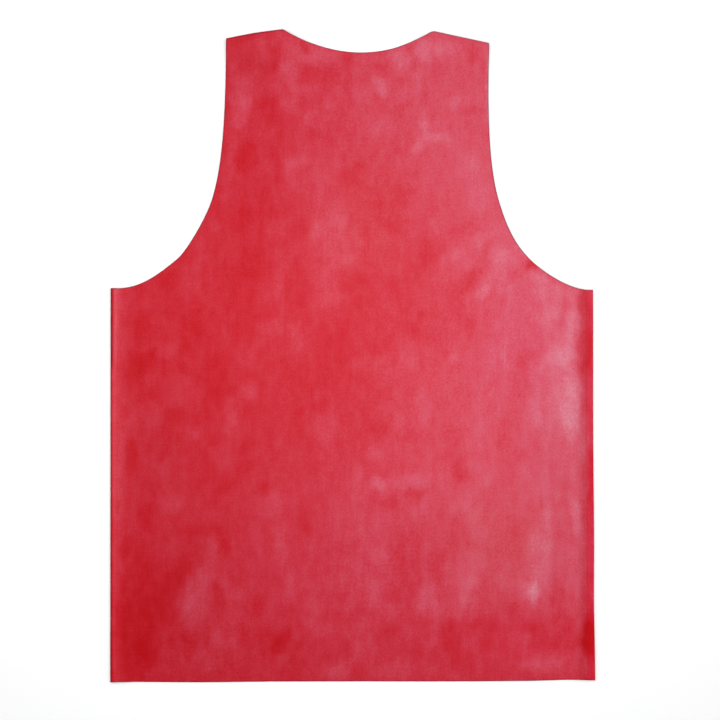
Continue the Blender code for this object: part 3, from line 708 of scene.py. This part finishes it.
def soft_noise(points, width, height, place):
    """Smooth noise from about -1 to 1, with blotches of that width and height."""
    spots = points / np.array((width, height))
    return np.array([noise.noise(Vector((x, y, place))) for x, y in spots])


def soft_noises(points, rows):
    """The sum of noises given as strength, width, height and place."""
    return sum(strength * soft_noise(points, *kind) for strength, *kind in rows)


def waved(points):
    """Points of the plan with the edges' slight waves."""
    shift = np.zeros_like(points)
    for x, y, reach_x, reach_y, shift_x, shift_y in WAVES:
        mark = soft_mark(points, x, y, 2 * reach_x, 2 * reach_y, 0.0)
        shift += mark[:, None] * np.array((shift_x, shift_y))
    return points + shift


def back_height(cut, points):
    """The middle of the back's wall: resting on the front, risen to its laps and sunk in the scoop."""
    left, right = cut.from_sides(points)
    side = 1 - smooth_step(*SIDE_FALL, np.minimum(left, right))
    shoulder = 1 - smooth_step(*BACK_SHOULDER_FALL, cut.below_shoulder(points))
    free = (1 - side) * (1 - shoulder)
    inside = cut.inside_scoop(points)
    sink = UNDER_THE_BACK * smooth_step(*SCOOP_STEP, inside) + WALL * smooth_step(*SCOOP_SINK, inside)
    lift = sum(row[4] * soft_mark(points, *row[:4], row[5]) for row in FOLDS + CREASES)
    ripple = soft_noises(points, RIPPLES)
    held = (UNDER_A_LAP - RESTING) * side + (ROUND_A_FOLD - RESTING) * shoulder * (1 - side)
    loose = free * (lift + ripple - sink)
    return np.maximum(RESTING + held + loose, lowest_back(inside))


def lowest_back(inside):
    """The least height of the back's middle: on the front, or on the surface inside the scoop."""
    return LOWEST + WALL * (1 - smooth_step(*SCOOP_EDGE, inside)) + CLEAR


def front_height(cut, points):
    """The middle of the front's wall: on the surface, risen over the laps at the shoulders."""
    rise = (OVER_A_LAP - LOWEST) * (1 - smooth_step(*FRONT_SHOULDER_FALL, cut.below_shoulder(points)))
    return LOWEST + rise


def raised(blocks, height):
    """Gives each block's points their heights, and a 1 because they can lie on a cut edge."""
    made = []
    for block in blocks:
        flat = block.reshape(-1, 2)
        points = np.column_stack([flat, height(flat), np.ones(len(flat))])
        made.append(points.reshape(*block.shape[:2], 4))
    return made


def roll_and_lap(edge, outward, start, turn_up):
    """A strip that carries an edge round a fold, up or down, and back over the layer between."""
    angles = np.linspace(0, math.pi, ROLL_STEPS + 1)
    reach = np.concatenate([BEND * np.sin(angles), np.linspace(0, ROLL - LAP, LAP_STEPS + 1)[1:]])
    rise = np.concatenate([BEND * (1 - np.cos(angles)), np.full(LAP_STEPS, 2 * BEND)])
    plan = edge[None] + reach[:, None, None] * outward
    heights = np.broadcast_to((start + turn_up * rise)[:, None], plan.shape[:2])
    on_edge = np.zeros(plan.shape[:2])
    on_edge[0] = on_edge[:, 0] = on_edge[:, -1] = 1.0
    return np.dstack([plan, heights, on_edge])


def side_strips(cut, grid):
    """The front's side edges: round the side folds and over the back panel."""
    strips = []
    for side, out in (("left", -1.0), ("right", 1.0)):
        edge = spread([cut.hem[side], cut.armhole[side][0]], banded(grid.body, BODY_LENGTH))
        strips.append(roll_and_lap(edge, np.array((out, 0.0)), LOWEST, 1))
    return strips


def shoulder_strips(cut, grid):
    """The back's shoulder edges: round the shoulder folds and under the front panel."""
    strips = []
    for side, end in (("left", 0), ("right", -1)):
        ends = [cut.armhole[side][-1], cut.neck[end]]
        edge = spread(ends, banded(grid.shoulder, SHOULDER_LENGTH))
        strips.append(roll_and_lap(edge, -downhill(ends[1] - ends[0]), ROUND_A_FOLD, -1))
    return strips


def welded_surface(name, sheets):
    """One mesh from grids of points, joined along their shared edges, which knows its cut edges."""
    points = []
    faces = []
    for sheet in sheets:
        start = sum(len(part) for part in points)
        rows, columns = sheet.shape[:2]
        places = start + np.arange(rows * columns).reshape(rows, columns)
        corners = (places[:-1, :-1], places[:-1, 1:], places[1:, 1:], places[1:, :-1])
        faces.append(np.stack(corners, axis=2).reshape(-1, 4))
        points.append(sheet.reshape(-1, 4))
    points = np.vstack(points)
    places = np.column_stack([waved(points[:, :2]), points[:, 2]]) - (0.0, LAID_LENGTH / 2, 0.0)
    mesh = bpy.data.meshes.new(name)
    mesh.from_pydata((places * MM).tolist(), [], np.vstack(faces).tolist())
    cut_edge = mesh.attributes.new("cut_edge", "FLOAT", "POINT")
    cut_edge.data.foreach_set("value", points[:, 3].astype(np.float32))
    surface = bmesh.new()
    surface.from_mesh(mesh)
    bmesh.ops.remove_doubles(surface, verts=surface.verts, dist=WELD * MM)
    on_edge = surface.verts.layers.float["cut_edge"]
    for vertex in surface.verts:
        vertex[on_edge] *= vertex.is_boundary
    bmesh.ops.recalc_face_normals(surface, faces=surface.faces)
    surface.to_mesh(mesh)
    surface.free()
    return mesh


def thickened(panel):
    """Makes a panel's sheet one closed wall, smooth but for its cut edges."""
    wall = panel.modifiers.new("wall", "SOLIDIFY")
    wall.thickness = WALL * MM
    wall.offset = 0.0
    wall.use_even_offset = True
    mesh = bpy.data.meshes.new_from_object(panel.evaluated_get(bpy.context.evaluated_depsgraph_get()))
    panel.modifiers.clear()
    panel.data = mesh
    mesh.shade_smooth()
    mesh.set_sharp_from_angle(angle=math.radians(SHARP_FROM))


def bell(value, middle, half_width):
    """1 at the middle, fading softly on both sides of it."""
    return np.exp(-(((value - middle) / half_width) ** 2))


def painted_edge_light(cut, points):
    """Painted light on the side folds: the left fold's highlight strip with its line and shaded rim,
    and the right fold's shaded strip.
    """
    left, right = cut.from_sides(points)
    level = points[:, 1]
    up_high = smooth_step(*UP_HIGH, level)
    strip_end = STRIP_FADE[1] + STRIP_WIDER * smooth_step(*STRIP_WIDENS, level)
    highlight = smooth_step(STRIP_START[0], STRIP_START[1] + STRIP_START_UP_HIGH * up_high, left)
    highlight *= 1 - smooth_step(STRIP_FADE[0], strip_end, left)
    highlight *= STRIP_AT_THE_HEM + STRIP_GAIN * smooth_step(*STRIP_GAINS, level) - STRIP_LOSS * up_high
    line = up_high * bell(left, *LEFT_HIGHLIGHT_LINE[:2])
    rim = 1 - smooth_step(RIM_END[0], RIM_END[1] + RIM_END_UP_HIGH * up_high, left)
    rim *= 1 - RIM_LOSS * up_high
    right_shade = 1 - smooth_step(*RIGHT_STRIP_FADE, right)
    return LEFT_HIGHLIGHT * highlight + LEFT_HIGHLIGHT_LINE[2] * line + LEFT_RIM_SHADE * rim + RIGHT_SHADE_STRIP * right_shade


def shade_at(cut, points, cut_edge):
    """How much light the cloth keeps under painted shade: on cut edges, folds and beside the right
    lap.
    """
    left, right = cut.from_sides(points)
    up_high = smooth_step(*SHADE_UP_HIGH, points[:, 1])
    rim = 1 - smooth_step(LEFT_SHADE_FADE[0] + up_high, LEFT_SHADE_FADE[1] + up_high, left)
    rim *= LEFT_SHADE + LEFT_SHADE_UP_HIGH * up_high
    shoulder = SHOULDER_SHADE * (1 - smooth_step(*SHOULDER_SHADE_FADE, cut.below_shoulder(points)))
    shade = 1 - np.maximum.reduce([EDGE_SHADE * cut_edge, rim, shoulder])
    return shade * (1 - LAP_SHADOW_LINE[2] * bell(right, *LAP_SHADOW_LINE[:2]))


def painted_light_and_tint_at(cut, points, cut_edge):
    """What the cloth's red, green and blue are multiplied by at points of the plan: painted shade and
    painted light, with changes of tone.
    """
    left, right = cut.from_sides(points)
    left_fold = 1 - smooth_step(*LEFT_FOLD_FADE, left)
    right_fold = 1 - smooth_step(*RIGHT_FOLD_FADE, right)
    marks = [soft_mark(points, *row[:5]) for row in PAINTED_LIGHT_AND_TINTS]
    red = 1 + FOLD_LIGHT_RED * np.maximum(left_fold, right_fold)
    red += sum(row[5] * mark for row, mark in zip(PAINTED_LIGHT_AND_TINTS, marks))
    blue = 1 + FOLD_LIGHT_BLUE[0] * left_fold + FOLD_LIGHT_BLUE[1] * right_fold
    blue += sum(row[6] * mark for row, mark in zip(PAINTED_LIGHT_AND_TINTS, marks))
    gains = np.column_stack([red, np.ones_like(red), blue])
    return shade_at(cut, points, cut_edge)[:, None] * gains


def bloom_and_sheen_at(cut, points):
    """How much pale bloom and painted sheen lie on the latex at points of the plan, from about 0 to 1,
    with painted highlight and shade on the side folds.
    """
    x, y = points.T
    drifted = points + np.stack([soft_noises(points, [row]) for row in FRAY], axis=1)
    rightness = smooth_step(*GAIN_BETWEEN, x)
    hem_band = 1 - smooth_step(*HEM_BAND, drifted[:, 1] + soft_noises(points, [HEM_BAND_WANDER]))
    # Painted sheen: the level grows to the right and at the top
    level = LEAST_BLOOM + SHEEN_TO_THE_RIGHT * rightness
    level += SHEEN_AT_THE_TOP * smooth_step(*TOP_FROM[0], x) * smooth_step(*TOP_FROM[1], y)
    level -= hem_band * (HEM_LOSS[0] + HEM_LOSS[1] * rightness ** HEM_LOSS_POWER)
    marks = sum(row[5] * soft_mark(drifted, *row[:5], CRISPNESS) for row in PATCHES)
    mottle = soft_noises(points, MOTTLES) * (MOTTLE_STRENGTH[0] + MOTTLE_STRENGTH[1] * rightness)
    return np.clip(level + marks + mottle + painted_edge_light(cut, points), 0.0, 1.0)


def lay_bloom_and_painted_light(panel, cut, upper_from):
    """Writes each point's bloom with its painted sheen, and its painted light, shade and tint; below
    upper_from they mirror the other side's.
    """
    mesh = panel.data
    co = np.zeros(len(mesh.vertices) * 3)
    mesh.vertices.foreach_get("co", co)
    co = co.reshape(-1, 3) / MM
    plan = co[:, :2] + (0.0, LAID_LENGTH / 2)
    upper = co[:, 2] > upper_from
    plan[~upper, 0] *= -1
    cut_edge = np.zeros(len(mesh.vertices), np.float32)
    mesh.attributes["cut_edge"].data.foreach_get("value", cut_edge)
    bloom_and_sheen = mesh.attributes.new("bloom_and_sheen", "FLOAT", "POINT")
    bloom_and_sheen.data.foreach_set("value", bloom_and_sheen_at(cut, plan).astype(np.float32))
    painted_light_and_tint = mesh.attributes.new("painted_light_and_tint", "FLOAT_VECTOR", "POINT")
    painted_light_and_tint.data.foreach_set("vector", painted_light_and_tint_at(cut, plan, cut_edge).astype(np.float32).ravel())


class Nodes:
    """Adds and links the nodes of one material."""

    def __init__(self, name):
        self.material = bpy.data.materials.new(name)
        self.material.use_nodes = True
        self.tree = self.material.node_tree
        self.shader = self.tree.nodes["Principled BSDF"]

    def add(self, kind, settings=(), inputs=()):
        """A node of a kind, with its settings and its inputs, which are values or sockets."""
        node = self.tree.nodes.new(kind)
        for name, value in dict(settings).items():
            setattr(node, name, value)
        for name, value in dict(inputs).items():
            if isinstance(value, bpy.types.NodeSocket):
                self.tree.links.new(value, node.inputs[name])
            else:
                node.inputs[name].default_value = value
        return node

    def noise(self, place, size, detail):
        """Noise with blotches of a size in millimetres."""
        stretch = [1 / (MM * length) for length in size]
        spot = self.add("ShaderNodeMapping", inputs={"Vector": place, "Scale": stretch}).outputs[0]
        inputs = {"Vector": spot, "Scale": 1.0, "Detail": detail, "Roughness": 0.55}
        return self.add("ShaderNodeTexNoise", inputs=inputs).outputs["Fac"]

    def math(self, operation, *values):
        """A calculation with values or sockets."""
        inputs = dict(enumerate(values))
        return self.add("ShaderNodeMath", {"operation": operation}, inputs).outputs[0]

    def set(self, **inputs):
        """Links or sets the shader's own inputs, named with underscores for spaces."""
        for name, value in inputs.items():
            socket = self.shader.inputs[name.replace("_", " ")]
            if isinstance(value, bpy.types.NodeSocket):
                self.tree.links.new(value, socket)
            else:
                socket.default_value = value


def linear(colour):
    """A colour seen as 0 to 255 in the values that a shader takes."""
    return (*Color([part / 255 for part in colour]).from_srgb_to_scene_linear(), 1.0)


def latex():
    """Red latex under a cloudy pale bloom, with painted sheen, light and shade, matt where it is
    bloomed and waxy where it is bare.
    """
    nodes = Nodes("latex")
    place = nodes.add("ShaderNodeTexCoord").outputs["Object"]
    bloom_and_sheen = nodes.add("ShaderNodeAttribute", {"attribute_name": "bloom_and_sheen"}).outputs["Fac"]
    painted_light_and_tint = nodes.add("ShaderNodeAttribute", {"attribute_name": "painted_light_and_tint"}).outputs["Vector"]
    grain = nodes.noise(place, *GRAIN)
    share = bloom_and_sheen
    for size, detail, strength in FINE_MARKS:
        marks = nodes.math("SUBTRACT", nodes.noise(place, size, detail), 0.5)
        share = nodes.math("MULTIPLY_ADD", marks, strength, share)
    grain_strength = nodes.math("MULTIPLY_ADD", bloom_and_sheen, *GRAIN_IN_BLOOM)
    share = nodes.math("MULTIPLY_ADD", nodes.math("SUBTRACT", grain, 0.5), grain_strength, share)
    ramp = nodes.add("ShaderNodeValToRGB", inputs={"Fac": share})
    stops = ramp.color_ramp.elements
    while len(stops) < len(BLOOM_AND_SHEEN_COLOURS):
        stops.new(0.5)
    for stop, (position, colour) in zip(stops, BLOOM_AND_SHEEN_COLOURS):
        stop.position = position
        stop.color = linear(colour)
    parts = {0: ramp.outputs["Color"], 1: painted_light_and_tint}
    colour = nodes.add("ShaderNodeVectorMath", {"operation": "MULTIPLY"}, parts).outputs[0]
    matt = nodes.math("MULTIPLY_ADD", share, *ROUGHNESS)
    relief = nodes.math("MULTIPLY_ADD", grain, GRAIN_RELIEF, nodes.noise(place, *WRINKLES))
    inputs = {"Height": relief, "Distance": RELIEF * MM, "Strength": 1.0}
    bump = nodes.add("ShaderNodeBump", inputs=inputs)
    nodes.set(Base_Color=colour, Roughness=matt, Normal=bump.outputs["Normal"])
    nodes.set(IOR=1.5, Specular_IOR_Level=0.15)
    return nodes.material


def make_panel(name, node, sheets, cut, upper_from, material):
    """Makes one panel's shell, which rides on the root body in place of its solid."""
    panel = bpy.data.objects.new(name, welded_surface(name, sheets))
    bpy.context.scene.collection.objects.link(panel)
    thickened(panel)
    lay_bloom_and_painted_light(panel, cut, upper_from)
    panel.data.materials.clear()
    panel.data.materials.append(material)
    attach(panel, "root")
    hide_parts(node)
    return panel


def make_shirt():
    """Both panels, made as the laid sheets that they were cut as."""
    cut = Cut()
    material = latex()
    back = raised(back_blocks(cut, BACK_GRID), lambda points: back_height(cut, points))
    back += shoulder_strips(cut, BACK_GRID)
    front = raised(front_blocks(cut, FRONT_GRID), lambda points: front_height(cut, points))
    front += side_strips(cut, FRONT_GRID)
    back = make_panel("back_panel_cloth", "back_panel", back, cut, LOWEST, material)
    front = make_panel("front_panel_cloth", "front_panel", front, cut, 2 * WALL, material)


def make_floor():
    """A plain pale floor just under the cloth."""
    bpy.ops.mesh.primitive_plane_add(size=FLOOR_WIDTH, location=(0.0, 0.0, -FLOOR_BELOW * MM))
    floor = bpy.context.object
    floor.name = "floor"
    nodes = Nodes("floor")
    nodes.set(Base_Color=(0.97, 0.97, 0.97, 1.0), Roughness=0.9, Specular_IOR_Level=0.1)
    floor.data.materials.append(nodes.material)


def make_camera():
    """Straight above, at the height from which the photo's width spans its view."""
    data = bpy.data.cameras.new("camera")
    data.lens = LENS
    data.sensor_width = SENSOR
    camera = bpy.data.objects.new("camera", data)
    x, y = VIEW_MIDDLE
    camera.location = Vector((x, y - LAID_LENGTH / 2, EDGE_HEIGHT + VIEW_WIDTH * LENS / SENSOR)) * MM
    bpy.context.scene.collection.objects.link(camera)
    bpy.context.scene.camera = camera


def softbox(name, place, size, power, in_gloss):
    """A square light that points at the garment's middle."""
    data = bpy.data.lights.new(name, "AREA")
    data.shape = "SQUARE"
    data.size = size
    data.energy = power
    light = bpy.data.objects.new(name, data)
    light.location = place
    light.rotation_euler = (-Vector(place)).to_track_quat("-Z", "Y").to_euler()
    light.visible_camera = False
    light.visible_glossy = in_gloss
    bpy.context.scene.collection.objects.link(light)


def make_light():
    """Soft studio light from above and both sides, in a room that is dark overhead."""
    for row in LIGHTS:
        softbox(*row)
    world = bpy.data.worlds.new("room")
    world.use_nodes = True
    tree = world.node_tree
    place = tree.nodes.new("ShaderNodeTexCoord")
    parts = tree.nodes.new("ShaderNodeSeparateXYZ")
    tree.links.new(place.outputs["Generated"], parts.inputs[0])
    fade = tree.nodes.new("ShaderNodeMapRange")
    for name, value in zip(("From Min", "From Max", "To Min", "To Max"), ROOM_FADE + ROOM_LIGHT):
        fade.inputs[name].default_value = value
    tree.links.new(parts.outputs["Z"], fade.inputs["Value"])
    tree.links.new(fade.outputs[0], tree.nodes["Background"].inputs["Strength"])
    tree.nodes["Background"].inputs["Color"].default_value = (1.0, 1.0, 1.0, 1.0)
    bpy.context.scene.world = world
    bpy.context.scene.view_settings.view_transform = "Standard"


make_shirt()
make_floor()
make_camera()
make_light()
